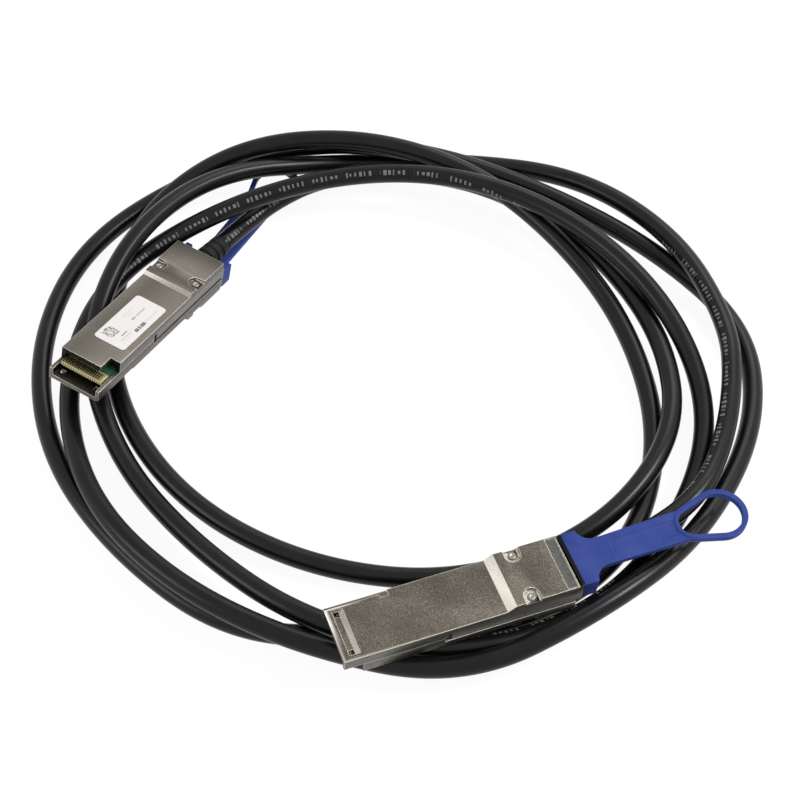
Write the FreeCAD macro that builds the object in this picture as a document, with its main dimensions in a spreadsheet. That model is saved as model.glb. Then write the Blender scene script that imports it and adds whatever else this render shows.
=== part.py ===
import FreeCAD, Part
import math
import os

import Sketcher

# Direct attach copper cable: two QSFP28 plugs on one thick round twin-axial
# cable that lies coiled on a table. Millimetres, +Z up, table at Z = 0.
#
# Every plug piece is modelled in the plug's own frame:
#   X runs from the nose (0) to the rear, Y is across, Z is positive on the
#   side that carries the pull tab, and Z = 0 is the split between the halves.

SIZES = {
    # plug shell
    "width": 18.35,
    "half_height": 4.25,
    "insertion_length": 52.4,
    "block_length": 20.0,
    "tab_side_rise": 2.1,
    "label_side_rise": 1.1,
    "ramp_length": 2.6,
    "label_ramp_length": 0.9,
    "base_setback": 6.0,
    # mouth and paddle card
    "mouth_depth": 12.0,
    "plate_wall": 1.6,
    "card_width": 15.4,
    "card_thickness": 1.0,
    "card_setback": 3.5,
    "card_length": 26.0,
    "card_gap": 0.3,
    "contact_count": 19,
    "contact_pitch": 0.8,
    "contact_width": 0.5,
    "contact_length": 3.2,
    "contact_thickness": 0.12,
    # slot across the nose of the tab side
    "nose_slot_start": 2.0,
    "nose_slot_length": 3.4,
    "nose_slot_width": 15.0,
    "nose_slot_depth": 0.9,
    "nose_ramp_length": 1.4,
    "nose_window": 1.7,
    "nose_window_inset": 0.3,
    # rebate along one top edge of the nose, and the cut front corner of the base
    "rebate_end": 19.5,
    "rebate_width": 0.9,
    "rebate_depth": 0.5,
    "rebate_notch_length": 2.7,
    "rebate_notch_width": 1.9,
    "corner_cut_length": 5.4,
    "corner_cut_width": 3.8,
    # rivets and their pockets in the rear block
    "rivet_from_step": 5.5,
    "rivet_side_inset": 1.975,
    "rivet_radius": 0.5,
    "rivet_head_radius": 1.25,
    "rivet_head_thickness": 0.45,
    "rivet_gap": 0.08,
    "pocket_length": 5.0,
    "pocket_depth": 1.0,
    "pocket_rib_offset": 1.7,
    "pocket_rib_width": 0.7,
    "pocket_rib_length": 3.2,
    "pocket_rib_height": 0.6,
    # shallow inlaid band across the rear end
    "band_length": 3.6,
    "band_edge": 0.45,
    "band_depth": 0.2,
    # latch slide in the side grooves
    "groove_start": 31.0,
    "groove_depth": 1.2,
    "groove_half_height": 1.9,
    "slide_clearance": 0.3,
    "arm_thickness": 0.6,
    "arm_setback": 2.0,
    "yoke_gap": 0.6,
    "yoke_thickness": 1.2,
    # return springs
    "spring_start": 36.0,
    "spring_length": 9.0,
    "spring_radius": 0.95,
    "spring_wire": 0.3,
    "spring_turns": 5,
    "spring_room": 0.35,
    "tongue_thickness": 0.6,
    # pull tab
    "tab_thickness": 2.0,
    "tab_root_length": 4.5,
    "tab_neck_start": 9.5,
    "tab_neck_half_width": 4.75,
    "tab_strap_half_width": 5.2,
    "loop_small_centre": 39.5,
    "loop_small_radius": 4.4,
    "loop_big_centre": 48.5,
    "loop_big_radius": 6.9,
    "loop_rim": 1.6,
    "tab_bend_start": 6.0,
    "lug_width": 2.2,
    "lug_drop": 5.0,
    # strain relief and cable
    "cable_diameter": 6.5,
    "boot_length": 12.0,
    "boot_root_radius": 3.95,
    "boot_tip_radius": 3.6,
    "boot_rib_count": 3,
    "boot_room": 0.95,
    "boot_groove_depth": 0.5,
    "boot_groove_width": 1.1,
    # label on the far plug
    "label_length": 22.0,
    "label_width": 13.0,
    "label_start": 20.0,
    "label_thickness": 0.12,
    "label_corner": 1.2,
}

# Where each plug lies: nose point, then yaw, pitch and roll in degrees, the
# direction of its strain relief, and how far its pull tab is bent.
PLUGS = {
    "a": {"nose": (-15.88, -98.57, 17.87), "turn": (21.45, 3.6, 3.0),
          "boot": (30.0, 5.0), "tab_bend": 1.5},
    "b": {"nose": (-98.39, -8.02, 23.8), "turn": (62.0, 12.0, 186.0),
          "boot": (56.0, 6.0), "tab_bend": -12.0},
}

# The cable's route from the strain relief of plug b to that of plug a, as
# corner points chosen by hand; its two ends are worked out from the plugs.
ROUTE = [
    (-39.5, 87, 7), (-26, 95.5, 7.7), (-2, 99.5, 9.7), (36.5, 91.5, 9.2), (70.5, 63.5, 6.7),
    (90, 22, 8.7), (90, -20.5, 11.7), (64, -54.5, 8.2), (22, -70, 3.7), (-22.5, -65.5, 4.2),
    (-61.5, -44, 5.7), (-87, -7.5, 5.2), (-96, 38, 2.7), (-86.5, 80, 7.7), (-53.5, 104.5, 16.2),
    (-9.5, 106.5, 18.7), (30.5, 91, 16.2), (60.5, 62.5, 9.7), (80, 25.5, 5.7), (86, -18, 3.7),
    (72, -61, 3.7), (36.5, -85.5, 3.7), (-7.5, -88, 3.2), (-47.5, -87, 3.7), (-84, -57.5, 4.2),
    (-109, -20, 3.2), (-117, 24.5, 3.7), (-106, 67, 4.2), (-74, 97, 5.2), (-31.5, 111, 11.7),
    (11.5, 106.5, 11.7), (52.5, 90.5, 8.2), (90, 64.5, 6.2), (118, 29, 5.7), (117, -12, 5.7),
    (95, -54, 6.7), (62, -85, 13.7), (20.5, -104.5, 7.7), (-26.5, -94.5, 9.7), (-65, -75, 12.7),
    (-93.5, -42.5, 10.7), (-106, 3, 6.2), (-96.5, 45, 10.7), (-61, 73.5, 14.7), (-20, 88, 18.2),
    (22, 86.5, 20.2), (61, 67.5, 19.2), (90.5, 34.5, 14.2), (102.5, -5.5, 8.2), (92.5, -42.5, 4.7),
    (64.5, -78.5, 3.2), (22, -97, 6.7), (-23.5, -88.5, 11.2), (-59.5, -59, 7.7), (-87, -23, 5.2),
    (-99.5, 16.5, 11.2), (-88.5, 55.5, 21.2), (-61, 89.5, 18.2), (-21, 106.5, 5.2), (24.5, 110, 2.7),
    (66.5, 97, 8.2), (97, 64, 12.7), (110.5, 22.5, 14.7), (109, -3.5, 13.2), (103, -26.5, 11.2),
    (93.5, -44.5, 11.7),
]
FIRST_RUN = 17.0          # straight run out of each strain relief
CORNER_SHARE = 0.45       # share of the shorter run that a corner's arc uses

doc = FreeCAD.newDocument("dac_cable")
Vector = FreeCAD.Vector


def make_sheet():
    """A spreadsheet that holds every driving size under its own alias."""
    sheet = doc.addObject("Spreadsheet::Sheet", "Sizes")
    for row, (name, value) in enumerate(SIZES.items(), start=1):
        sheet.set("A%d" % row, name.replace("_", " "))
        sheet.set("B%d" % row, str(value))
        sheet.setAlias("B%d" % row, name)
    doc.recompute()
    return sheet


SHEET = make_sheet()


def size(name):
    """The value of one sheet cell."""
    return float(getattr(SHEET, name))


def placement_of(plug):
    """Where a plug's own frame lies on the table."""
    yaw, pitch, roll = PLUGS[plug]["turn"]
    return FreeCAD.Placement(Vector(*PLUGS[plug]["nose"]), FreeCAD.Rotation(yaw, pitch, roll))


# ---------------------------------------------------------------- modelling aids

def new_body(label):
    body = doc.addObject("PartDesign::Body", label)
    body.Label = label
    return body


def new_sketch(body, name, role, offset=None):
    """A sketch on one of the body's origin planes, moved along its normal."""
    sketch = body.newObject("Sketcher::SketchObject", body.Name + "_" + name)
    plane = [feature for feature in body.Origin.OriginFeatures if feature.Role == role][0]
    sketch.AttachmentSupport = (plane, "")
    sketch.MapMode = "FlatFace"
    if offset:
        sketch.setExpression("AttachmentOffset.Base.z", offset)
    return sketch


def add_polygon(sketch, corners):
    """A closed outline whose corners are pairs of expressions."""
    count = len(corners)
    first = len(sketch.Geometry)
    turn = 2 * math.pi / count
    start = [Vector(30 + 9 * math.cos(i * turn), 30 + 9 * math.sin(i * turn), 0) for i in range(count)]
    for i in range(count):
        sketch.addGeometry(Part.LineSegment(start[i], start[(i + 1) % count]), False)
    for i in range(count):
        following = first + (i + 1) % count
        sketch.addConstraint(Sketcher.Constraint("Coincident", first + i, 2, following, 1))
    for i, corner in enumerate(corners):
        for kind, value, expression in zip(("DistanceX", "DistanceY"), start[i], corner):
            row = sketch.addConstraint(Sketcher.Constraint(kind, -1, 1, first + i, 1, value))
            sketch.setExpression("Constraints[%d]" % row, expression)


def add_box(sketch, x_low, x_high, y_low, y_high):
    add_polygon(sketch, [(x_low, y_low), (x_high, y_low), (x_high, y_high), (x_low, y_high)])


def add_circle(sketch, x, y, radius):
    row = len(sketch.Geometry)
    sketch.addGeometry(Part.Circle(Vector(30, 30, 0), Vector(0, 0, 1), 2), False)
    for kind, value, expression in (("DistanceX", 30, x), ("DistanceY", 30, y)):
        place = sketch.addConstraint(Sketcher.Constraint(kind, -1, 1, row, 3, value))
        sketch.setExpression("Constraints[%d]" % place, expression)
    place = sketch.addConstraint(Sketcher.Constraint("Radius", row, 2))
    sketch.setExpression("Constraints[%d]" % place, radius)


def pad(body, sketch, length, midplane=False, reverse=False):
    feature = body.newObject("PartDesign::Pad", sketch.Name + "_pad")
    feature.Profile = sketch
    feature.setExpression("Length", length)
    feature.Midplane = midplane
    feature.Reversed = reverse
    doc.recompute()
    return feature


def pocket(body, sketch, depth, reverse=False, midplane=False):
    """Cuts a sketch into the body and makes sure that it removed material."""
    before = body.Shape.Volume
    feature = body.newObject("PartDesign::Pocket", sketch.Name + "_pocket")
    feature.Profile = sketch
    feature.setExpression("Length", depth)
    feature.Midplane = midplane
    feature.Reversed = reverse
    doc.recompute()
    if not body.Shape.Volume < before - 1e-6:
        raise RuntimeError(sketch.Name + " cuts nothing")
    return feature


def static_piece(label, shape):
    piece = doc.addObject("Part::Feature", label)
    piece.Label = label
    piece.Shape = shape
    return piece


# ---------------------------------------------------------------- plug shell

LENGTH = "(Sizes.insertion_length + Sizes.block_length)"
HALF_WIDTH = "(Sizes.width / 2)"
RIVET_X = "(Sizes.insertion_length + Sizes.rivet_from_step)"
RIVET_Y = "(Sizes.width / 2 - Sizes.rivet_side_inset)"
GROOVE_FLOOR = "(Sizes.width / 2 - Sizes.groove_depth)"
MOUTH_HALF = "(Sizes.card_width / 2 + Sizes.card_gap)"
SPRING_Y = "(Sizes.width / 2 - Sizes.groove_depth - Sizes.spring_room - Sizes.spring_radius)"
SPRING_POCKET = "(Sizes.spring_radius + Sizes.spring_room)"


def shell_half(label, side):
    """One die-cast half; side is 1 for the tab side and -1 for the label side."""
    sign = "" if side > 0 else "-1 * "
    rise = "Sizes.tab_side_rise" if side > 0 else "Sizes.label_side_rise"
    ramp = "Sizes.ramp_length" if side > 0 else "Sizes.label_ramp_length"
    start = "0" if side > 0 else "Sizes.base_setback"
    low = sign + "Sizes.half_height"
    high = sign + "(Sizes.half_height + %s)" % rise
    body = new_body(label)

    profile = new_sketch(body, "profile", "XZ_Plane")
    add_polygon(profile, [
        (start, "0"),
        (LENGTH, "0"),
        (LENGTH, high),
        ("Sizes.insertion_length", high),
        ("Sizes.insertion_length - " + ramp, low),
        (start, low),
    ])
    pad(body, profile, "Sizes.width", midplane=True)

    mouth = new_sketch(body, "mouth", "XY_Plane")
    add_box(mouth, "-1", "Sizes.mouth_depth", "-1 * " + MOUTH_HALF, MOUTH_HALF)
    pocket(body, mouth, "Sizes.half_height - Sizes.plate_wall", reverse=side > 0)

    seat = new_sketch(body, "card_seat", "XY_Plane")
    add_box(seat, "Sizes.mouth_depth - 0.5", "Sizes.card_setback + Sizes.card_length",
            "-1 * Sizes.card_width / 2", "Sizes.card_width / 2")
    pocket(body, seat, "Sizes.card_thickness / 2", reverse=side > 0)

    grooves = new_sketch(body, "grooves", "XY_Plane")
    for lower, upper in ((GROOVE_FLOOR, HALF_WIDTH + " + 1"), ("-1 * " + HALF_WIDTH + " - 1", "-1 * " + GROOVE_FLOOR)):
        add_box(grooves, "Sizes.groove_start", LENGTH + " + 1", lower, upper)
    pocket(body, grooves, "Sizes.groove_half_height", reverse=side > 0)

    rooms = new_sketch(body, "spring_rooms", "XY_Plane")
    room_start = "Sizes.spring_start - Sizes.tongue_thickness - Sizes.slide_clearance"
    room_end = "Sizes.spring_start + Sizes.spring_length"
    inner = "(%s - %s)" % (SPRING_Y, SPRING_POCKET)
    add_box(rooms, room_start, room_end, inner, GROOVE_FLOOR + " + 0.5")
    add_box(rooms, room_start, room_end, "-1 * " + GROOVE_FLOOR + " - 0.5", "-1 * " + inner)
    pocket(body, rooms, "Sizes.groove_half_height", reverse=side > 0)

    pockets = new_sketch(body, "rivet_pockets", "XY_Plane", offset=high)
    half = "Sizes.pocket_length / 2"
    for direction in ("", "-1 * "):
        add_circle(pockets, RIVET_X, direction + RIVET_Y, half)
    pocket(body, pockets, "Sizes.pocket_depth", reverse=side < 0)
    mouths = new_sketch(body, "pocket_mouths", "XY_Plane", offset=high)
    add_box(mouths, RIVET_X + " - " + half, RIVET_X + " + " + half, RIVET_Y, HALF_WIDTH + " + 1")
    add_box(mouths, RIVET_X + " - " + half, RIVET_X + " + " + half, "-1 * " + HALF_WIDTH + " - 1", "-1 * " + RIVET_Y)
    pocket(body, mouths, "Sizes.pocket_depth", reverse=side < 0)

    holes = new_sketch(body, "rivet_holes", "XY_Plane")
    for direction in ("", "-1 * "):
        add_circle(holes, RIVET_X, direction + RIVET_Y, "Sizes.rivet_radius + Sizes.rivet_gap")
    pocket(body, holes, "Sizes.half_height + " + rise, reverse=side > 0)

    ribs = new_sketch(body, "pocket_ribs", "XY_Plane", offset="%s * (Sizes.half_height + %s - Sizes.pocket_depth)" % (side, rise))
    rib_start = RIVET_X + " + Sizes.pocket_rib_offset"
    rib_end = rib_start + " + Sizes.pocket_rib_width"
    rib_inner = "(%s - Sizes.rivet_head_radius)" % RIVET_Y
    add_box(ribs, rib_start, rib_end, rib_inner, rib_inner + " + Sizes.pocket_rib_length")
    add_box(ribs, rib_start, rib_end, "-1 * %s - Sizes.pocket_rib_length" % rib_inner, "-1 * " + rib_inner)
    pad(body, ribs, "Sizes.pocket_rib_height", reverse=side < 0)

    if side > 0:
        dress_tab_side(body)
    else:
        cut_front_corner(body)
    return body


def dress_tab_side(body):
    """Slot with a ramp and two windows across the nose, edge rebate, rear band."""
    top = "Sizes.half_height"
    slot = new_sketch(body, "nose_slot", "XZ_Plane")
    slot_start = "Sizes.nose_slot_start"
    slot_end = "Sizes.nose_slot_start + Sizes.nose_slot_length"
    slot_floor = top + " - Sizes.nose_slot_depth"
    add_polygon(slot, [
        (slot_start, top + " + 1"),
        (slot_start, slot_floor),
        (slot_end + " - Sizes.nose_ramp_length", slot_floor),
        (slot_end, top),
        (slot_end, top + " + 1"),
    ])
    pocket(body, slot, "Sizes.nose_slot_width", midplane=True)

    windows = new_sketch(body, "nose_windows", "XY_Plane", offset=top)
    inner = "(Sizes.nose_slot_width / 2 - Sizes.nose_window_inset - Sizes.nose_window)"
    outer = "(Sizes.nose_slot_width / 2 - Sizes.nose_window_inset)"
    near = slot_start + " + Sizes.nose_window_inset"
    far = near + " + Sizes.nose_window"
    add_box(windows, near, far, inner, outer)
    add_box(windows, near, far, "-1 * " + outer, "-1 * " + inner)
    pocket(body, windows, "Sizes.plate_wall + 0.5")

    rebate = new_sketch(body, "rebate", "XY_Plane", offset=top)
    notch_start = "Sizes.rebate_end - Sizes.rebate_notch_length"
    add_polygon(rebate, [
        ("-1", HALF_WIDTH + " - Sizes.rebate_width"),
        (notch_start, HALF_WIDTH + " - Sizes.rebate_width"),
        (notch_start, HALF_WIDTH + " - Sizes.rebate_notch_width"),
        ("Sizes.rebate_end", HALF_WIDTH + " - Sizes.rebate_notch_width"),
        ("Sizes.rebate_end", HALF_WIDTH + " + 1"),
        ("-1", HALF_WIDTH + " + 1"),
    ])
    pocket(body, rebate, "Sizes.rebate_depth")

    band = new_sketch(body, "band", "XY_Plane", offset="Sizes.half_height + Sizes.tab_side_rise")
    add_box(band, LENGTH + " - Sizes.band_length", LENGTH + " - Sizes.band_edge",
            "-1 * %s + Sizes.band_edge" % HALF_WIDTH, HALF_WIDTH + " - Sizes.band_edge")
    pocket(body, band, "Sizes.band_depth")


def cut_front_corner(body):
    """Cuts one front corner of the base off, so that the card's corner shows."""
    corner = new_sketch(body, "front_corner", "XY_Plane")
    end = "Sizes.base_setback + Sizes.corner_cut_length"
    add_box(corner, "Sizes.base_setback - 1", end, HALF_WIDTH + " - Sizes.corner_cut_width", HALF_WIDTH + " + 1")
    pocket(body, corner, "Sizes.half_height + 1")


# ---------------------------------------------------------------- inside and fasteners

def paddle_card(label):
    """The board whose edge carries the contacts, clamped between the halves."""
    body = new_body(label)
    outline = new_sketch(body, "outline", "XY_Plane")
    add_box(outline, "Sizes.card_setback", "Sizes.card_setback + Sizes.card_length",
            "-1 * Sizes.card_width / 2", "Sizes.card_width / 2")
    pad(body, outline, "Sizes.card_thickness", midplane=True)
    return body


def contacts(label):
    """Gold fingers on both faces of the card, as one group of thin pads."""
    pads = []
    pitch = size("contact_pitch")
    count = int(size("contact_count"))
    half = size("card_thickness") / 2
    for i in range(count):
        middle = (i - (count - 1) / 2) * pitch
        for base in (half, -half - size("contact_thickness")):
            corner = Vector(size("card_setback") + 0.5, middle - size("contact_width") / 2, base)
            pads.append(Part.makeBox(size("contact_length"), size("contact_width"),
                                     size("contact_thickness"), corner))
    return static_piece(label, Part.makeCompound(pads))


def rivet(label, direction):
    """A headed pin turned about its own axis, from pocket floor to pocket floor."""
    body = new_body(label)
    profile = new_sketch(body, "profile", "XZ_Plane")
    top = "(Sizes.half_height + Sizes.tab_side_rise - Sizes.pocket_depth)"
    bottom = "(Sizes.half_height + Sizes.label_side_rise - Sizes.pocket_depth)"
    head = "Sizes.rivet_head_thickness"
    add_polygon(profile, [
        ("0", "-1 * %s - %s" % (bottom, head)),
        ("Sizes.rivet_head_radius", "-1 * %s - %s" % (bottom, head)),
        ("Sizes.rivet_head_radius", "-1 * " + bottom),
        ("Sizes.rivet_radius", "-1 * " + bottom),
        ("Sizes.rivet_radius", top),
        ("Sizes.rivet_head_radius", top),
        ("Sizes.rivet_head_radius", "%s + %s" % (top, head)),
        ("0", "%s + %s" % (top, head)),
    ])
    turned = body.newObject("PartDesign::Revolution", body.Name + "_turned")
    turned.Profile = profile
    turned.ReferenceAxis = (profile, ["V_Axis"])
    turned.Angle = 360
    x = size("insertion_length") + size("rivet_from_step")
    y = direction * (size("width") / 2 - size("rivet_side_inset"))
    return body, FreeCAD.Placement(Vector(x, y, 0), FreeCAD.Rotation())


# ---------------------------------------------------------------- release

ARM_OUTER = "(Sizes.width / 2 - Sizes.groove_depth + Sizes.slide_clearance + Sizes.arm_thickness)"
ARM_INNER = "(Sizes.width / 2 - Sizes.groove_depth + Sizes.slide_clearance)"
ARM_HALF = "(Sizes.groove_half_height - Sizes.slide_clearance)"
YOKE_START = "(Sizes.insertion_length + Sizes.block_length + Sizes.yoke_gap)"
YOKE_END = "(Sizes.insertion_length + Sizes.block_length + Sizes.yoke_gap + Sizes.yoke_thickness)"
TAB_LOW = "(Sizes.boot_root_radius + Sizes.slide_clearance + 0.1)"


def latch_slide(label):
    """Steel slide: two arms in the side grooves, joined by a yoke over the cable."""
    body = new_body(label)
    arms = new_sketch(body, "arms", "XY_Plane")
    arm_start = "Sizes.groove_start + Sizes.arm_setback"
    tongue_end = "Sizes.spring_start"
    tongue_start = "Sizes.spring_start - Sizes.tongue_thickness"
    tongue_tip = "(%s - Sizes.spring_radius)" % SPRING_Y
    for sign in ("", "-1 * "):
        add_polygon(arms, [
            (arm_start, sign + ARM_INNER),
            (tongue_start, sign + ARM_INNER),
            (tongue_start, sign + tongue_tip),
            (tongue_end, sign + tongue_tip),
            (tongue_end, sign + ARM_INNER),
            (YOKE_END, sign + ARM_INNER),
            (YOKE_END, sign + ARM_OUTER),
            (arm_start, sign + ARM_OUTER),
        ])
    pad(body, arms, "2 * " + ARM_HALF, midplane=True)

    yoke = new_sketch(body, "yoke", "YZ_Plane", offset=YOKE_START)
    notch = "(Sizes.boot_root_radius + Sizes.boot_room)"
    tab_top = TAB_LOW + " + Sizes.tab_thickness"
    add_polygon(yoke, [
        ("-1 * " + ARM_OUTER, "-1 * " + ARM_HALF),
        ("-1 * " + notch, "-1 * " + ARM_HALF),
        ("-1 * " + notch, TAB_LOW),
        (notch, TAB_LOW),
        (notch, "-1 * " + ARM_HALF),
        (ARM_OUTER, "-1 * " + ARM_HALF),
        (ARM_OUTER, tab_top),
        ("-1 * " + ARM_OUTER, tab_top),
    ])
    pad(body, yoke, "Sizes.yoke_thickness")
    return body


def hull_outline(near, near_radius, far, far_radius):
    """Outline round two circles on the X axis, joined by their outer tangents."""
    lean = math.asin((far_radius - near_radius) / (far - near))
    across = Vector(-math.sin(lean), math.cos(lean), 0)
    mirrored = Vector(across.x, -across.y, 0)
    near_middle = Vector(near, 0, 0)
    far_middle = Vector(far, 0, 0)
    points = [
        near_middle + across * near_radius,
        far_middle + across * far_radius,
        far_middle + mirrored * far_radius,
        near_middle + mirrored * near_radius,
    ]
    edges = [
        Part.LineSegment(points[0], points[1]).toShape(),
        Part.Arc(points[1], far_middle + Vector(far_radius, 0, 0), points[2]).toShape(),
        Part.LineSegment(points[2], points[3]).toShape(),
        Part.Arc(points[3], near_middle - Vector(near_radius, 0, 0), points[0]).toShape(),
    ]
    return Part.Wire(edges)


def slab(wire, low, height):
    face = Part.Face(wire)
    face.translate(Vector(0, 0, low))
    return face.extrude(Vector(0, 0, height))


def strap_outline(start):
    """Half-round flanks from the wide root to the neck, then a strap that widens."""
    root = size("width") / 2 - 0.2
    root_end = start + size("tab_root_length")
    neck_start = start + size("tab_neck_start")
    neck = size("tab_neck_half_width")
    strap_end = start + size("loop_small_centre")
    strap = size("tab_strap_half_width")
    bulge = Vector(root_end + 0.3 * (neck_start - root_end), neck + 0.3 * (root - neck), 0)
    upper = [Vector(start, root, 0), Vector(root_end, root, 0), Vector(neck_start, neck, 0),
             Vector(strap_end, strap, 0)]
    lower = [Vector(p.x, -p.y, 0) for p in upper]
    edges = [
        Part.LineSegment(upper[0], upper[1]).toShape(),
        Part.Arc(upper[1], bulge, upper[2]).toShape(),
        Part.LineSegment(upper[2], upper[3]).toShape(),
        Part.LineSegment(upper[3], lower[3]).toShape(),
        Part.LineSegment(lower[3], lower[2]).toShape(),
        Part.Arc(lower[2], Vector(bulge.x, -bulge.y, 0), lower[1]).toShape(),
        Part.LineSegment(lower[1], lower[0]).toShape(),
        Part.LineSegment(lower[0], upper[0]).toShape(),
    ]
    return Part.Wire(edges)


def pull_tab(label, bend):
    """Moulded tab: root lugs on the yoke, a waisted strap and a finger loop."""
    start = (size("insertion_length") + size("block_length") + size("yoke_gap")
             + size("yoke_thickness"))
    low = size("boot_root_radius") + size("slide_clearance") + 0.1
    thick = size("tab_thickness")
    near = start + size("loop_small_centre")
    far = start + size("loop_big_centre")
    rim = size("loop_rim")
    tall = 60
    outer = hull_outline(near, size("loop_small_radius") + rim, far, size("loop_big_radius") + rim)
    hole = hull_outline(near, size("loop_small_radius"), far, size("loop_big_radius"))
    plan = slab(strap_outline(start), low - tall / 2, tall)
    plan = plan.fuse(slab(outer, low - tall / 2, tall)).cut(slab(hole, low - tall / 2 - 1, tall + 2))

    # side view: flat to the bend, then turned by the bend angle
    end = far + size("loop_big_radius") + rim + 5
    bend_at = start + size("tab_bend_start")
    slope = math.tan(math.radians(bend))
    step = (end - bend_at) * slope
    shift = thick * math.tan(math.radians(bend) / 2)
    side = [Vector(start, 0, low), Vector(bend_at + shift, 0, low), Vector(end, 0, low + step),
            Vector(end, 0, low + step + thick / math.cos(math.radians(bend))),
            Vector(bend_at, 0, low + thick), Vector(start, 0, low + thick), Vector(start, 0, low)]
    ribbon = Part.Face(Part.makePolygon(side))
    ribbon.translate(Vector(0, -size("width"), 0))
    ribbon = ribbon.extrude(Vector(0, 2 * size("width"), 0))
    shape = plan.common(ribbon)

    for direction in (1, -1):
        outer_y = size("width") / 2 - 0.2
        corner_y = outer_y - size("lug_width") if direction > 0 else -outer_y
        lug = Part.makeBox(size("tab_root_length"), size("lug_width"), size("lug_drop"),
                           Vector(start, corner_y, low - size("lug_drop")))
        shape = shape.fuse(lug)
    return static_piece(label, shape.removeSplitter())


def spring(label, direction):
    """Compression spring between the arm's tongue and the end of its room."""
    wire_radius = size("spring_wire") / 2
    coil = size("spring_radius") - wire_radius
    rise = size("spring_length") - 2 * wire_radius
    turns = size("spring_turns")
    helix = Part.makeHelix(rise / turns, rise, coil)
    circle = Part.Wire(Part.makeCircle(wire_radius, Vector(coil, 0, 0), Vector(0, 1, 0)))
    coil_shape = Part.Wire(helix.Edges).makePipeShell([circle], True, True)
    y = size("width") / 2 - size("groove_depth") - size("spring_room") - size("spring_radius")
    local = FreeCAD.Placement(Vector(size("spring_start") + wire_radius, direction * y, 0),
                              FreeCAD.Rotation(Vector(0, 1, 0), 90))
    return static_piece(label, coil_shape), local


# ---------------------------------------------------------------- strain relief and cable

def direction_of(yaw, pitch):
    return FreeCAD.Rotation(yaw, pitch, 0).multVec(Vector(1, 0, 0))


def rear_of(plug):
    """Middle of the plug's rear face on the table's axes."""
    length = size("insertion_length") + size("block_length")
    return placement_of(plug).multVec(Vector(length, 0, 0))


def boot_end(plug):
    return rear_of(plug) + direction_of(*PLUGS[plug]["boot"]) * size("boot_length")


def strain_relief(label, plug):
    """Ribbed rubber boot, turned about its own axis, then laid along the cable."""
    length = size("boot_length")
    root = size("boot_root_radius")
    tip = size("boot_tip_radius")
    depth = size("boot_groove_depth")
    width = size("boot_groove_width")
    ribs = int(size("boot_rib_count"))
    overlap = root / 2
    points = [Vector(0, 0, -overlap), Vector(root, 0, -overlap)]
    for i in range(ribs):
        middle = length * (i + 1) / (ribs + 1)
        radius = root + (tip - root) * middle / length
        points += [Vector(radius, 0, middle - width / 2), Vector(radius - depth, 0, middle - width / 4),
                   Vector(radius - depth, 0, middle + width / 4), Vector(radius, 0, middle + width / 2)]
    points += [Vector(tip, 0, length), Vector(0, 0, length), points[0]]
    turned = Part.Face(Part.makePolygon(points)).revolve(Vector(0, 0, 0), Vector(0, 0, 1), 360)
    # the root is cut square to the plug's rear face
    axis = direction_of(*PLUGS[plug]["boot"])
    turned.Placement = FreeCAD.Placement(rear_of(plug), FreeCAD.Rotation(Vector(0, 0, 1), axis))
    reach = length + 2 * root
    behind = Part.makeBox(reach, 4 * root, 4 * root, Vector(0, -2 * root, -2 * root))
    behind.Placement = FreeCAD.Placement(rear_of(plug), placement_of(plug).Rotation)
    return static_piece(label, turned.common(behind))


def cable_points():
    """Corner points of the whole route, its ends set by the two boots."""
    points = [boot_end("b")]
    points.append(points[0] + direction_of(*PLUGS["b"]["boot"]) * FIRST_RUN)
    points += [Vector(*corner) for corner in ROUTE]
    last = boot_end("a")
    points.append(last + direction_of(*PLUGS["a"]["boot"]) * FIRST_RUN)
    points.append(last)
    return points


def cable(label):
    """Round tube of straight runs joined by tangent arcs."""
    points = cable_points()
    radius = size("cable_diameter") / 2
    edges = []
    radii = []
    current = points[0]
    for before, corner, after in zip(points, points[1:], points[2:]):
        into = (corner - before)
        out = (after - corner)
        short = min(into.Length, out.Length)
        into.normalize()
        out.normalize()
        half = into.getAngle(out) / 2
        reach = CORNER_SHARE * short
        arc_radius = reach / math.tan(half)
        radii.append(arc_radius)
        start = corner - into * reach
        end = corner + out * reach
        inward = (out - into)
        inward.normalize()
        middle = corner + inward * (arc_radius / math.cos(half) - arc_radius)
        edges.append(Part.LineSegment(current, start).toShape())
        edges.append(Part.Arc(start, middle, end).toShape())
        current = end
    edges.append(Part.LineSegment(current, points[-1]).toShape())
    path = Part.Wire(edges)
    heading = points[1] - points[0]
    section = Part.Wire(Part.makeCircle(radius, points[0], heading))
    tube = path.makePipeShell([section], True, False)
    print("cable length %.1f, smallest corner radius %.1f" % (path.Length, min(radii)))
    print("radii " + " ".join("%.0f" % value for value in radii))
    expected = math.pi * radius ** 2 * path.Length
    print("volume over section times length %.5f" % (tube.Volume / expected))
    return static_piece(label, tube)


def label_field(label):
    """Plain label stuck on the flat face of the label side."""
    length = size("label_length")
    width = size("label_width")
    thick = size("label_thickness")
    plate = Part.makeBox(length, width, thick,
                         Vector(size("label_start"), -width / 2, -size("half_height") - thick))
    upright = [edge for edge in plate.Edges if abs(edge.tangentAt(edge.FirstParameter).z) > 0.9]
    return static_piece(label, plate.makeFillet(size("label_corner"), upright))


# ---------------------------------------------------------------- assembly

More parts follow.
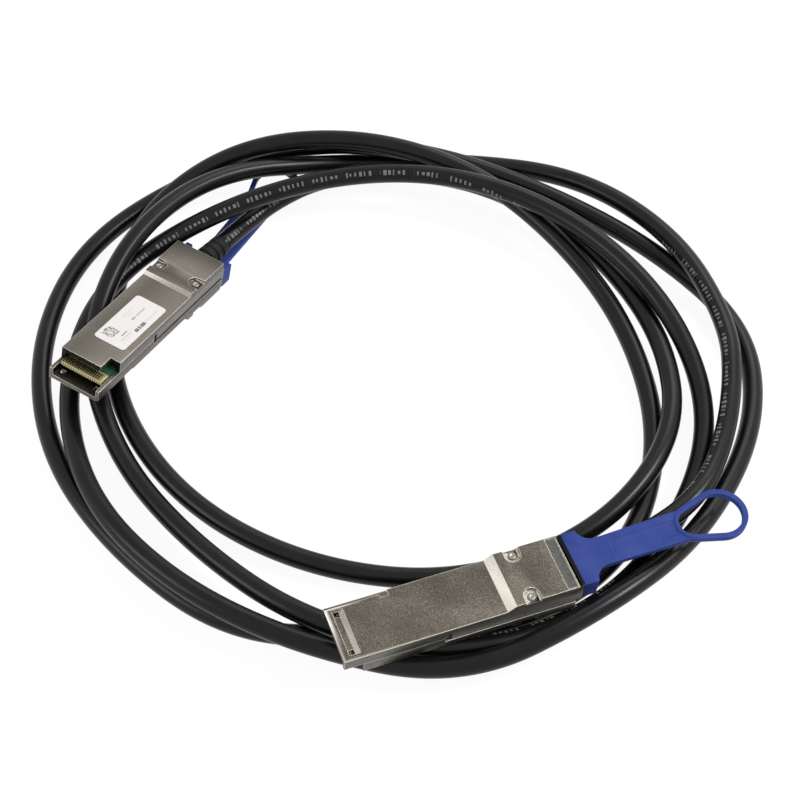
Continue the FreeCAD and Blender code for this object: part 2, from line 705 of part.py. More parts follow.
def build_plug(plug):
    pieces = []
    home = placement_of(plug)

    def keep(piece, local=FreeCAD.Placement()):
        piece.Placement = home.multiply(local)
        pieces.append(piece)

    keep(shell_half("shell_top_" + plug, 1))
    keep(shell_half("shell_base_" + plug, -1))
    keep(paddle_card("paddle_card_" + plug))
    keep(contacts("contacts_" + plug))
    keep(latch_slide("latch_slide_" + plug))
    keep(pull_tab("pull_tab_" + plug, PLUGS[plug]["tab_bend"]))
    for name, direction in (("left", 1), ("right", -1)):
        keep(*rivet("rivet_%s_%s" % (name, plug), direction))
        keep(*spring("return_spring_%s_%s" % (name, plug), direction))
    pieces.append(strain_relief("strain_relief_" + plug, plug))
    return pieces


def check(piece):
    """Stops the build if a piece or anything that makes it has failed."""
    shape = piece.Shape
    if shape.isNull() or not shape.isValid():
        raise RuntimeError(piece.Label + " has no valid shape")
    if not shape.Solids:
        raise RuntimeError(piece.Label + " is not solid")


def main():
    pieces = build_plug("a") + build_plug("b")
    label = label_field("label_b")
    label.Placement = placement_of("b")
    pieces.append(label)
    pieces.append(cable("cable"))
    doc.recompute()
    for item in doc.Objects:
        if "Invalid" in item.State or "Error" in item.State:
            raise RuntimeError(item.Name + " failed: " + " ".join(item.State))
    os.makedirs("parts", exist_ok=True)
    for piece in pieces:
        check(piece)
        piece.Shape.exportStep("parts/%s.step" % piece.Label)
        box = piece.Shape.BoundBox
        print("%-24s %9.2f mm3  z %.2f to %.2f" % (piece.Label, piece.Shape.Volume, box.ZMin, box.ZMax))


main()
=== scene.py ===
import math

import bmesh
import bpy
import numpy as np
from mathutils import Matrix, Vector


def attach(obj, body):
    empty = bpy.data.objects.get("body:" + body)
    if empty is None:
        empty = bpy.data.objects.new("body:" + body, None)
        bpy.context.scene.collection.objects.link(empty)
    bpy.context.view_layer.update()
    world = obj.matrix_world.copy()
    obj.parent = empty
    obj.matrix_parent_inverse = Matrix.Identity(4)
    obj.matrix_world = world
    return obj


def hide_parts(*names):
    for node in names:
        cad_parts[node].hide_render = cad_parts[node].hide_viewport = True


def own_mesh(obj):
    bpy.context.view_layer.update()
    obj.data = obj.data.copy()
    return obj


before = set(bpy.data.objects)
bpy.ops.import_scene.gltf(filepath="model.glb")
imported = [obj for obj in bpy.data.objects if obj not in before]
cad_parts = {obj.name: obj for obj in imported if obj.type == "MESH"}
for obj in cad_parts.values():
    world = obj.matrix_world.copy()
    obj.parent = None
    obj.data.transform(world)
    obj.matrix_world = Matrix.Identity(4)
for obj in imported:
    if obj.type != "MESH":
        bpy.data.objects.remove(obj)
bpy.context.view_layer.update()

# Direct attach copper cable: two metal plugs with blue pull tabs on one thick
# round black cable that lies coiled on a table. The scene is in metres, +Z up;
# named lengths are in mm unless a comment says otherwise.

MM = 0.001

# ---------------------------------------------------------------- the plugs' own frames

# Each plug's nose point in mm and its yaw, pitch and roll in degrees. In the
# plug's frame X runs from the nose to the rear, Y is across, Z is up on the tab side.
PLUG_LIES = {
    "a": ((-15.88, -98.57, 17.87), (21.45, 3.6, 3.0)),
    "b": ((-98.39, -8.02, 23.8), (62.0, 12.0, 186.0)),
}
BOOT_TURN = {"a": (30.0, 5.0), "b": (56.0, 6.0)}    # yaw and pitch of the strain reliefs

# Lengths in mm and places in a plug's frame, angles in degrees.
PLUG_LENGTH = 72.4
HALF_HEIGHT = 4.25
BOOT_LENGTH = 12.0
NOSE_LENGTH = 20.0          # ramps on it take the satin tone, a painted sheen; the one behind it a near-white painted highlight
BAND_LENGTH = 3.7           # plain band at the rear of the tab side
GROOVE_START = 31.0         # front end of the slide's grooves in the side walls
YOKE_START = PLUG_LENGTH + 0.2
MOUTH_START = 0.1
MOUTH_DEPTH = 13.0
MOUTH_HALF_WIDTH = 8.2
MOUTH_HALF_HEIGHT = 2.8

CONTACT_PITCH = 0.8
FINGER_SHARE = 0.64         # width of a finger as a share of the pitch
FINGER_SHIFT = 100.31       # pitches added to line the fingers up and keep their count positive
FINGER_END = 7.6            # where the card's bare edge zone ends

RIVET_AT = 57.9
RIVET_OUT = 7.2
RIVET_LOW = -4.35           # pocket floors, on which the heads sit
RIVET_HIGH = 5.35
RIVET_PIN = 0.5
# Radius and height over the pocket floor along a set head, from its rim to its sunk middle.
RIVET_HEAD = [(1.25, 0.0), (1.25, 0.2), (1.1, 0.4), (0.8, 0.45), (0.58, 0.42), (0.36, 0.22), (0.02, 0.2)]
RIVET_SIDES = 28
POCKET_HALF_LENGTH = 3.2
POCKET_HALF_WIDTH = 2.4
POCKET_LEVELS = [(-4.1, -3.1), (4.4, 6.2)]    # heights between which the sunk faces lie

SPRING_START = 36.0
SPRING_LENGTH = 9.0
SPRING_OUT = 6.675          # from the plug's middle to a spring's axis
SPRING_RADIUS = 0.95
SPRING_WIRE = 0.3
SPRING_TURNS = 5
SPRING_STEPS = 24           # points of the wire line in one turn

TAB_START = 74.2
TAB_TOP = 6.35
TAB_BEND_AT = 6.0           # from the tab's start
TAB_BEND = {"a": 1.5, "b": -12.0}
HOLE_AT = 39.5              # from the tab's start to the centre of the finger hole's front arc
HOLE_RADIUS = 4.4
LIP_OFFSET = 1.1            # from the hole's edge to the middle of its raised lip
LIP_SPREAD = 78.0           # to either side of the tab's axis
LIP_POINTS = 40
STRAP_START = TAB_START + 9.0
STRAP_FRAME = [(6.0, 2.6), (24.5, 2.6), (24.5, -2.6), (19.0, -2.6)]    # from STRAP_START
STRAP_LINE = [(3.5, 2.9), (3.5, -3.1)]
STRAP_STEP = 0.6
THIN_SIDES = 8              # sides of the spring wires and the raised lines

LABEL_START = 16.5
LABEL_SHIFT = 1.0           # from the plug's middle
LABEL_LENGTH = 25.0
LABEL_WIDTH = 11.5
LABEL_THICK = 0.12
LABEL_SINK = 0.02           # how far its underside goes into the casting
LABEL_CORNER = 1.2
LABEL_POINTS = (150, 90)    # along and across
# Printed bars: from and to along the label, from and to across it, and how dark.
LABEL_BARS = [
    (9.8, 11.5, 3.0, 4.2, 0.8), (11.9, 12.6, 3.0, 4.2, 0.8), (13.0, 15.4, 3.0, 4.2, 0.8),
    (15.8, 22.5, 3.1, 3.9, 0.12), (13.6, 15.6, -0.6, 0.0, 0.6), (16.0, 21.0, -0.6, 0.0, 0.35),
    (12.6, 18.5, -3.6, -3.1, 0.14), (13.2, 17.0, -2.6, -2.2, 0.12), (5.3, 8.3, 1.1, 1.7, 0.6),
    (3.2, 8.8, 2.5, 2.8, 0.3), (2.6, 7.6, 3.5, 3.8, 0.2),
]
SQUARES = 12                # along and across the printed field
SQUARE_SIZE = 0.36
SQUARES_CORNER = (2.4, -4.6)
SQUARES_DARK = 0.75
SQUARES_SEED = 7


def plug_turn(plug):
    """Rotation of a plug: yaw about Z, times pitch about Y, times roll about X."""
    yaw, pitch, roll = (math.radians(v) for v in PLUG_LIES[plug][1])
    turn = Matrix.Rotation(yaw, 3, "Z") @ Matrix.Rotation(pitch, 3, "Y") @ Matrix.Rotation(roll, 3, "X")
    return np.array(turn)


def to_table(plug, points):
    """Points in a plug's frame, in mm, as points on the table, in metres."""
    nose = np.array(PLUG_LIES[plug][0])
    return (np.asarray(points, float) @ plug_turn(plug).T + nose) * MM


def to_plug(plug, points):
    """The reverse of to_table."""
    nose = np.array(PLUG_LIES[plug][0])
    return (np.asarray(points, float) / MM - nose) @ plug_turn(plug)


# ---------------------------------------------------------------- cord route

# Corner points of the cable in mm, from the far plug's strain relief to the
# near plug's; the two ends come from where the strain reliefs end.
ROUTE = [
    (-39.5, 87, 7), (-26, 95.5, 7.7), (-2, 99.5, 9.7), (36.5, 91.5, 9.2), (70.5, 63.5, 6.7),
    (90, 22, 8.7), (90, -20.5, 11.7), (64, -54.5, 8.2), (22, -70, 3.7), (-22.5, -65.5, 4.2),
    (-61.5, -44, 5.7), (-87, -7.5, 5.2), (-96, 38, 2.7), (-86.5, 80, 7.7), (-53.5, 104.5, 16.2),
    (-9.5, 106.5, 18.7), (30.5, 91, 16.2), (60.5, 62.5, 9.7), (80, 25.5, 5.7), (86, -18, 3.7),
    (72, -61, 3.7), (36.5, -85.5, 3.7), (-7.5, -88, 3.2), (-47.5, -87, 3.7), (-84, -57.5, 4.2),
    (-109, -20, 3.2), (-117, 24.5, 3.7), (-106, 67, 4.2), (-74, 97, 5.2), (-31.5, 111, 11.7),
    (11.5, 106.5, 11.7), (52.5, 90.5, 8.2), (90, 64.5, 6.2), (118, 29, 5.7), (117, -12, 5.7),
    (95, -54, 6.7), (62, -85, 13.7), (20.5, -104.5, 7.7), (-26.5, -94.5, 9.7), (-65, -75, 12.7),
    (-93.5, -42.5, 10.7), (-106, 3, 6.2), (-96.5, 45, 10.7), (-61, 73.5, 14.7), (-20, 88, 18.2),
    (22, 86.5, 20.2), (61, 67.5, 19.2), (90.5, 34.5, 14.2), (102.5, -5.5, 8.2), (92.5, -42.5, 4.7),
    (64.5, -78.5, 3.2), (22, -97, 6.7), (-23.5, -88.5, 11.2), (-59.5, -59, 7.7), (-87, -23, 5.2),
    (-99.5, 16.5, 11.2), (-88.5, 55.5, 21.2), (-61, 89.5, 18.2), (-21, 106.5, 5.2), (24.5, 110, 2.7),
    (66.5, 97, 8.2), (97, 64, 12.7), (110.5, 22.5, 14.7), (109, -3.5, 13.2), (103, -26.5, 11.2),
    (93.5, -44.5, 11.7),
]
FIRST_RUN = 17.0            # straight run out of a strain relief, in mm
ROUTE_ORDER = 3
ROUTE_STEPS = 20            # points of the line for each corner
CABLE_RADIUS = 3.25         # mm
CABLE_LENGTH = 2.7845       # metres
CABLE_SIDES = 24
CABLE_DRAWN = 0.994         # mean radius as a share of CABLE_RADIUS
CABLE_UNEVEN = 0.004        # how much the radius varies either way, as a share
CABLE_WAVES = (0.019, 0.047)    # metres along the cable for one radian of each wave

# Printed row on the jacket: pitches in mm, half heights and places as shares of one turn,
# the rest in metres.
BAR_PITCH = 1.7
BAR_NARROW = 0.25           # shares of the pitch
BAR_WIDE = 0.7
BAR_LOW = 0.022
BAR_HIGH = 0.048
GROUP_PITCH = 12.0
GROUP_FILLED = 0.74         # share of the pitch that holds bars
ROW_UP = 0.11               # where the row faces up
ROW_UNDER = 0.61            # where it lies underneath
ROW_TWIST = 0.09            # length in which the cable turns the row over
# Stretches from the far plug along which the twisted cable shows its printed row.
ROW_SEEN = [(0.0, 0.07), (1.78, 1.92), (2.14, 2.19), (2.66, 2.73)]


def boot_axis(plug):
    """Direction in which a strain relief points: yaw about Z, then pitch about Y."""
    yaw, pitch = (math.radians(v) for v in BOOT_TURN[plug])
    return np.array([math.cos(yaw) * math.cos(pitch), math.sin(yaw) * math.cos(pitch), -math.sin(pitch)])


def boot_end(plug):
    """Where the cable leaves a strain relief, in mm."""
    rear = to_table(plug, [(PLUG_LENGTH, 0, 0)])[0] / MM
    return rear + boot_axis(plug) * BOOT_LENGTH


def route_points():
    """The spline's control points, in mm, from one strain relief to the other."""
    start = boot_end("b")
    last = boot_end("a")
    ahead = start + boot_axis("b") * FIRST_RUN
    behind = last + boot_axis("a") * FIRST_RUN
    return np.vstack([start, ahead, np.array(ROUTE, float), behind, last])


def route_line():
    """Points along the smooth NURBS route, in metres."""
    corners = route_points() * MM
    curve = bpy.data.curves.new("cable_route", "CURVE")
    curve.dimensions = "3D"
    spline = curve.splines.new("NURBS")
    spline.points.add(len(corners) - 1)
    spline.points.foreach_set("co", np.hstack([corners, np.ones((len(corners), 1))]).ravel())
    spline.order_u = ROUTE_ORDER
    spline.use_endpoint_u = True
    spline.resolution_u = ROUTE_STEPS
    carrier = bpy.data.objects.new("cable_route", curve)
    line = bpy.data.meshes.new_from_object(carrier)
    points = np.empty(len(line.vertices) * 3)
    line.vertices.foreach_get("co", points)
    bpy.data.objects.remove(carrier)
    bpy.data.curves.remove(curve)
    bpy.data.meshes.remove(line)
    return points.reshape(-1, 3)


# ---------------------------------------------------------------- mesh making

JOIN_WITHIN = 2e-6          # metres
FLAT_WITHIN = 1.0           # degrees


def place_object(name, mesh, materials, body):
    """A new object at the origin with its materials, riding on a body."""
    piece = bpy.data.objects.new(name, mesh)
    bpy.context.scene.collection.objects.link(piece)
    for material in materials:
        mesh.materials.append(material)
    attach(piece, body)
    return piece


def cell_corners(values):
    """The values at the four corners of each cell of a grid, in order round the cell."""
    return np.stack([values[:-1, :-1], values[:-1, 1:], values[1:, 1:], values[1:, :-1]], axis=2)


def surface_mesh(name, grid, closed_across, uv=None, caps=False):
    """A mesh from a grid of points of shape rows by columns by 3.

    Each cell of the grid becomes one four-sided face. closed_across joins the
    last column to the first, and caps closes the first and last row with one face.
    """
    rows, columns = grid.shape[:2]
    index = np.arange(rows * columns).reshape(rows, columns)
    wide = np.hstack([index, index[:, :1]]) if closed_across else index
    face_list = cell_corners(wide).reshape(-1, 4).tolist()
    if caps:
        face_list.append(index[0, ::-1].tolist())
        face_list.append(index[-1].tolist())
    mesh = bpy.data.meshes.new(name)
    mesh.from_pydata(grid.reshape(-1, 3).tolist(), [], face_list)
    mesh.update()
    if uv is not None:
        corners = cell_corners(uv).reshape(-1, 2)
        flat = np.zeros((len(mesh.loops), 2))
        flat[:len(corners)] = corners
        mesh.uv_layers.new(name="along").data.foreach_set("uv", flat.ravel())
    mesh.polygons.foreach_set("use_smooth", np.ones(len(mesh.polygons), bool))
    return mesh


def frames_along(line, upright):
    """For each point of a line the normal nearest upright, and the side square to it and the line."""
    tangent = np.gradient(line, axis=0)
    tangent /= np.linalg.norm(tangent, axis=1, keepdims=True)
    side = np.cross(tangent, np.asarray(upright))
    side /= np.linalg.norm(side, axis=1, keepdims=True)
    return np.cross(side, tangent), side


def distance_along(line):
    """Distance from the start of a line at each of its points."""
    step = np.linalg.norm(np.diff(line, axis=0), axis=1)
    return np.concatenate([[0.0], np.cumsum(step)])


def swept_tube(name, line, radius, sides, upright=(0.0, 0.0, 1.0)):
    """A tube: each ring is centre + radius * (cos angle * normal + sin angle * side).

    Its UV map holds the distance along the line in metres and the turn from 0 to 1.
    """
    normal, side = frames_along(line, upright)
    angle = np.linspace(0, 2 * math.pi, sides, endpoint=False)[None, :, None]
    reach = np.broadcast_to(np.asarray(radius, float).reshape(-1, 1, 1), (len(line), 1, 1))
    ring = np.cos(angle) * normal[:, None, :] + np.sin(angle) * side[:, None, :]
    grid = line[:, None, :] + reach * ring
    turn = np.linspace(0, 1, sides + 1)
    uv = np.stack(np.broadcast_arrays(distance_along(line)[:, None], turn[None, :]), axis=-1)
    return surface_mesh(name, grid, True, uv, caps=True)


def merged_copy(node, name):
    """A CAD node's mesh with its corners joined and its flat faces made whole."""
    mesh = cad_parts[node].data.copy()
    mesh.name = name
    mesh.materials.clear()
    work = bmesh.new()
    work.from_mesh(mesh)
    bmesh.ops.remove_doubles(work, verts=work.verts, dist=JOIN_WITHIN)
    bmesh.ops.dissolve_limit(work, angle_limit=math.radians(FLAT_WITHIN),
                             verts=work.verts, edges=work.edges)
    for face in work.faces:
        face.smooth = True
        face.material_index = 0
    work.to_mesh(mesh)
    work.free()
    return mesh


def edged_copy(node, body, kinds, width, angle=32.0, rim=True):
    """A copy of a CAD node with narrow rounded edges, which take the last material if rim is set."""
    name = node + "_finish"
    piece = place_object(name, merged_copy(node, name), [MATERIALS[kind] for kind in kinds], body)
    edge = piece.modifiers.new("edges", "BEVEL")
    edge.width = width * MM
    edge.segments = 2
    edge.limit_method = "ANGLE"
    edge.angle_limit = math.radians(angle)
    edge.harden_normals = True
    edge.use_clamp_overlap = True
    if rim:
        edge.material = len(kinds) - 1
    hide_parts(node)
    return piece


def paint_faces(piece, plug, test, index):
    """Gives a material to the faces whose centre and normal in the plug's frame pass a test."""
    mesh = piece.data
    count = len(mesh.polygons)
    centre = np.empty(count * 3)
    normal = np.empty(count * 3)
    mesh.polygons.foreach_get("center", centre)
    mesh.polygons.foreach_get("normal", normal)
    where = to_plug(plug, centre.reshape(-1, 3))
    facing = normal.reshape(-1, 3) @ plug_turn(plug)
    chosen = test(where, facing)
    current = np.empty(count, np.int32)
    mesh.polygons.foreach_get("material_index", current)
    current[chosen] = index
    mesh.polygons.foreach_set("material_index", current)
    mesh.update()


# ---------------------------------------------------------------- materials

def linear(code):
    """An sRGB hex colour as linear red, green, blue and alpha."""
    values = [int(code[i:i + 2], 16) / 255 for i in (1, 3, 5)]
    return tuple(v / 12.92 if v <= 0.04045 else ((v + 0.055) / 1.055) ** 2.4 for v in values) + (1.0,)


def add_node(tree, kind, settings=None, links=None, stops=None):
    """A node with its attributes, input values and links, and on a ramp its (place, colour) stops."""
    node = tree.nodes.new(kind)
    for key, value in (settings or {}).items():
        if isinstance(key, str) and hasattr(node, key):
            setattr(node, key, value)
        else:
            node.inputs[key].default_value = value
    for key, source in (links or {}).items():
        tree.links.new(source, node.inputs[key])
    if stops:
        elements = node.color_ramp.elements
        while len(elements) < len(stops):
            elements.new(0.5)
        for element, (place, colour) in zip(elements, stops):
            element.position = place
            element.color = colour
    return node


def new_material(name):
    """An empty node material, its tree and its surface socket."""
    material = bpy.data.materials.new(name)
    material.use_nodes = True
    tree = material.node_tree
    tree.nodes.clear()
    output = add_node(tree, "ShaderNodeOutputMaterial")
    return material, tree, output.inputs["Surface"]


# Sockets of a Mix node that mixes two colours.
SHARE, UNDER, OVER, MIXED = 0, 6, 7, 2

EDGE_HIGHLIGHT_COLOUR = "#c9c5bb"      # painted highlight along the edges: near-white nickel
RIM_NONE = 0.985            # cosine of the normal's turn at which the painted edge highlight starts
RIM_FULL = 0.88             # and at which it is complete
CLOUD_DEPTH = 0.2           # how much the cloudy shading adds to the speckle
TONE_STOPS = (0.30, 0.50, 0.72)    # speckle values at which a metal's three tones lie
MOULD_SPREAD = 0.05         # how far a moulded skin's roughness varies either way
METAL_CLOUD = 9.0           # widths of patterns in mm
MOULD_CLOUD = 7.0
JACKET_CLOUD = 14.0
JACKET_PEEL = 0.9
BOARD_WEAVE = 0.4
LABEL_FIBRE = 0.5


def painted_edge_highlight(tree, radius_mm):
    """Mask of the painted edge highlight, 1 on edges, 0 on flats: how far the normal rounded over a radius
    turns from the true one.
    """
    rounded = add_node(tree, "ShaderNodeBevel", {"samples": 6, "Radius": radius_mm * MM})
    flat = add_node(tree, "ShaderNodeNewGeometry").outputs["True Normal"]
    agree = add_node(tree, "ShaderNodeVectorMath", {"operation": "DOT_PRODUCT"},
                     {0: rounded.outputs[0], 1: flat})
    return add_node(tree, "ShaderNodeMapRange", {"From Min": RIM_NONE, "From Max": RIM_FULL},
                    {"Value": agree.outputs["Value"]}).outputs[0]


def grained_metal(name, tones, grain, roughness, spread, bump, rim=0.0):
    """Metal: a fine speckle of crystal grain over slow cloudy shading, with grain, bump and rim in mm.

    Tone = ramp of (speckle + CLOUD_DEPTH * (cloud - 0.5)) over the dark, middle and light tones.
    With rim the edges are painted bright over that width, a painted highlight. Real grain is finer than the
    speckle, which is as coarse as it needs to be to show.
    """
    material, tree, surface = new_material(name)
    place = add_node(tree, "ShaderNodeTexCoord").outputs["Object"]
    speckle = add_node(tree, "ShaderNodeTexNoise",
                       {"Scale": 1 / (grain * MM), "Detail": 3.0, "Roughness": 0.65}, {"Vector": place})
    cloud = add_node(tree, "ShaderNodeTexNoise", {"Scale": 1 / (METAL_CLOUD * MM), "Detail": 2.0},
                     {"Vector": place})
    shade = add_node(tree, "ShaderNodeMath",
                     {"operation": "MULTIPLY_ADD", 1: CLOUD_DEPTH, 2: -CLOUD_DEPTH / 2},
                     {0: cloud.outputs["Fac"]})
    value = add_node(tree, "ShaderNodeMath", {"operation": "ADD"},
                     {0: speckle.outputs["Fac"], 1: shade.outputs[0]})
    stops = [(at, linear(tone)) for at, tone in zip(TONE_STOPS, tones)]
    plain = add_node(tree, "ShaderNodeValToRGB", links={"Fac": value.outputs[0]}, stops=stops)
    colour = plain.outputs["Color"]
    if rim:
        # painted highlight: the edges are mixed towards the near-white edge colour
        rubbed = add_node(tree, "ShaderNodeMix", {"data_type": "RGBA", OVER: linear(EDGE_HIGHLIGHT_COLOUR)},
                          {SHARE: painted_edge_highlight(tree, rim), UNDER: colour})
        colour = rubbed.outputs[MIXED]
    rough = add_node(tree, "ShaderNodeMapRange",
                     {"To Min": roughness - spread, "To Max": roughness + spread},
                     {"Value": speckle.outputs["Fac"]})
    relief = add_node(tree, "ShaderNodeBump", {"Strength": 0.5, "Distance": bump * MM},
                      {"Height": speckle.outputs["Fac"]})
    shader = add_node(tree, "ShaderNodeBsdfPrincipled", {"Metallic": 1.0},
                      {"Base Color": colour, "Roughness": rough.outputs[0],
                       "Normal": relief.outputs["Normal"]})
    tree.links.new(shader.outputs[0], surface)
    return material


def make_cast_dark():
    """Zinc die casting, blasted and nickel plated: a dark warm satin with a fine bright speckle."""
    return grained_metal("blasted_nickel_on_zinc", ("#433f39", "#57524b", "#837c71"),
                         grain=0.36, roughness=0.47, spread=0.06, bump=0.02, rim=0.32)


def make_cast_light():
    """The same casting left as moulded on the label side: smoother, paler and a little yellower."""
    return grained_metal("smooth_nickel_on_zinc", ("#58544e", "#625e57", "#6e6961"),
                         grain=0.35, roughness=0.43, spread=0.03, bump=0.006, rim=0.3)


def make_cast_side():
    """Side walls, wiped by the die: plain satin grey, a coarser and fainter speckle."""
    return grained_metal("die_wiped_nickel", ("#5a5752", "#6a6761", "#7f7c76"),
                         grain=0.6, roughness=0.45, spread=0.05, bump=0.01, rim=0.3)


def make_inner_painted_shade():
    """Inside of the mouth: dull dark zinc, a painted shade for the shadow that falls inside it."""
    return grained_metal("dark_zinc_painted_shade", ("#1d1b18", "#272420", "#34302b"),
                         grain=0.5, roughness=0.6, spread=0.05, bump=0.01)


def make_painted_highlight():
    """Long ramp and edges: near-white nickel with a soft gloss, a painted highlight where the light catches
    them.
    """
    return grained_metal("near_white_nickel_highlight", ("#c1bdb2", "#ccc8bd", "#d6d2c7"),
                         grain=0.8, roughness=0.4, spread=0.04, bump=0.004, rim=0.2)


def make_satin_painted_sheen():
    """Short ramps, pocket floors and the near wall: the same nickel, satin and a little warmer; on the
    ramps and the near wall its lighter tone is a painted sheen.
    """
    return grained_metal("satin_nickel_painted_sheen", ("#8a867d", "#99958b", "#a9a59a"),
                         grain=0.6, roughness=0.42, spread=0.04, bump=0.004, rim=0.2)


def make_band():
    """Plain pressed band: neutral grey satin nickel."""
    return grained_metal("pressed_grey_nickel", ("#434240", "#504f4c", "#5d5c58"),
                         grain=0.7, roughness=0.45, spread=0.03, bump=0.004, rim=0.25)


def make_steel():
    """Slide and springs: rolled stainless steel, smooth and bright."""
    return grained_metal("rolled_stainless_steel", ("#6c6c6a", "#7f7e7c", "#959491"),
                         grain=0.5, roughness=0.42, spread=0.05, bump=0.004)


def make_rivet():
    """Turned and set rivets: brighter than the casting, scuffed by the tool."""
    return grained_metal("set_nickel_rivet", ("#5a5750", "#7c7870", "#a39f96"),
                         grain=0.3, roughness=0.42, spread=0.08, bump=0.01, rim=0.15)


def make_gold():
    """Contacts: hard gold over nickel, pale and glossy."""
    return grained_metal("hard_gold_plate", ("#c4b684", "#d2c698", "#e0d6b2"),
                         grain=0.3, roughness=0.25, spread=0.04, bump=0.002)


def print_row(tree, along):
    """The printed row's turn at a distance: ROW_UNDER, eased to ROW_UP where the row is seen."""
    places = []
    for start, end in ROW_SEEN:
        places += [(start - ROW_TWIST, ROW_UNDER), (start, ROW_UP)]
        places += [(end, ROW_UP), (end + ROW_TWIST, ROW_UNDER)]
    stops = [(at / CABLE_LENGTH, (turn, turn, turn, 1.0)) for at, turn in places if at >= 0.0]
    share = add_node(tree, "ShaderNodeMath", {"operation": "DIVIDE", 1: CABLE_LENGTH}, {0: along})
    row = add_node(tree, "ShaderNodeValToRGB", links={"Fac": share.outputs[0]}, stops=stops)
    row.color_ramp.interpolation = "EASE"
    return row.outputs["Color"]


def print_mask(tree, along, turn):
    """Where the row of bars is printed: short bars of uneven width, in groups, in a slowly winding row.

    bar = fraction of (distance / BAR_PITCH) under a width picked at random for that bar;
    group = fraction of (distance / GROUP_PITCH) under GROUP_FILLED;
    a place is in the row if its turn differs from the row's by less than the bar's half height.
    """
    count = add_node(tree, "ShaderNodeMath", {"operation": "DIVIDE", 1: BAR_PITCH * MM}, {0: along})
    place = add_node(tree, "ShaderNodeMath", {"operation": "FRACT"}, {0: count.outputs[0]})
    number = add_node(tree, "ShaderNodeMath", {"operation": "FLOOR"}, {0: count.outputs[0]})
    chance = add_node(tree, "ShaderNodeTexWhiteNoise", {"noise_dimensions": "1D"},
                      {"W": number.outputs[0]})
    picks = add_node(tree, "ShaderNodeSeparateColor", links={"Color": chance.outputs["Color"]})
    width = add_node(tree, "ShaderNodeMapRange", {"To Min": BAR_NARROW, "To Max": BAR_WIDE},
                     {"Value": picks.outputs[0]})
    height = add_node(tree, "ShaderNodeMapRange", {"To Min": BAR_LOW, "To Max": BAR_HIGH},
                      {"Value": picks.outputs[1]})
    bar = add_node(tree, "ShaderNodeMath", {"operation": "LESS_THAN"},
                   {0: place.outputs[0], 1: width.outputs[0]})
    groups = add_node(tree, "ShaderNodeMath", {"operation": "DIVIDE", 1: GROUP_PITCH * MM}, {0: along})
    within = add_node(tree, "ShaderNodeMath", {"operation": "FRACT"}, {0: groups.outputs[0]})
    group = add_node(tree, "ShaderNodeMath", {"operation": "LESS_THAN", 1: GROUP_FILLED},
                     {0: within.outputs[0]})
    away = add_node(tree, "ShaderNodeMath", {"operation": "SUBTRACT"}, {0: turn, 1: print_row(tree, along)})
    apart = add_node(tree, "ShaderNodeMath", {"operation": "ABSOLUTE"}, {0: away.outputs[0]})
    inside = add_node(tree, "ShaderNodeMath", {"operation": "LESS_THAN"},
                      {0: apart.outputs[0], 1: height.outputs[0]})
    first = add_node(tree, "ShaderNodeMath", {"operation": "MULTIPLY"},
                     {0: bar.outputs[0], 1: group.outputs[0]})
    both = add_node(tree, "ShaderNodeMath", {"operation": "MULTIPLY"},
                    {0: first.outputs[0], 1: inside.outputs[0]})
    return both.outputs[0]


def make_jacket():
    """Extruded PVC jacket: near-black satin, with a printed row of plain bars along it."""
    # Extrusion leaves slow patches of gloss and an orange-peel bump, drawn coarser than it is.
    material, tree, surface = new_material("extruded_black_pvc")
    place = add_node(tree, "ShaderNodeTexCoord")
    uv = add_node(tree, "ShaderNodeSeparateXYZ", links={"Vector": place.outputs["UV"]})
    peel = add_node(tree, "ShaderNodeTexNoise", {"Scale": 1 / (JACKET_PEEL * MM), "Detail": 3.0},
                    {"Vector": place.outputs["Object"]})
    cloud = add_node(tree, "ShaderNodeTexNoise", {"Scale": 1 / (JACKET_CLOUD * MM), "Detail": 2.0},
                     {"Vector": place.outputs["Object"]})
    black = add_node(tree, "ShaderNodeValToRGB", links={"Fac": cloud.outputs["Fac"]},
                     stops=[(0.35, linear("#090909")), (0.65, linear("#101010"))])
    bars = print_mask(tree, uv.outputs["X"], uv.outputs["Y"])
    ink = add_node(tree, "ShaderNodeMix", {"data_type": "RGBA", OVER: linear("#717675")},
                   {SHARE: bars, UNDER: black.outputs["Color"]})
    rough = add_node(tree, "ShaderNodeMapRange", {"To Min": 0.26, "To Max": 0.34},
                     {"Value": cloud.outputs["Fac"]})
    relief = add_node(tree, "ShaderNodeBump", {"Strength": 0.25, "Distance": 0.02 * MM},
                      {"Height": peel.outputs["Fac"]})
    shader = add_node(tree, "ShaderNodeBsdfPrincipled", {"Specular IOR Level": 0.22, "IOR": 1.5},
                      {"Base Color": ink.outputs[MIXED], "Roughness": rough.outputs[0],
                       "Normal": relief.outputs["Normal"]})
    tree.links.new(shader.outputs[0], surface)
    return material


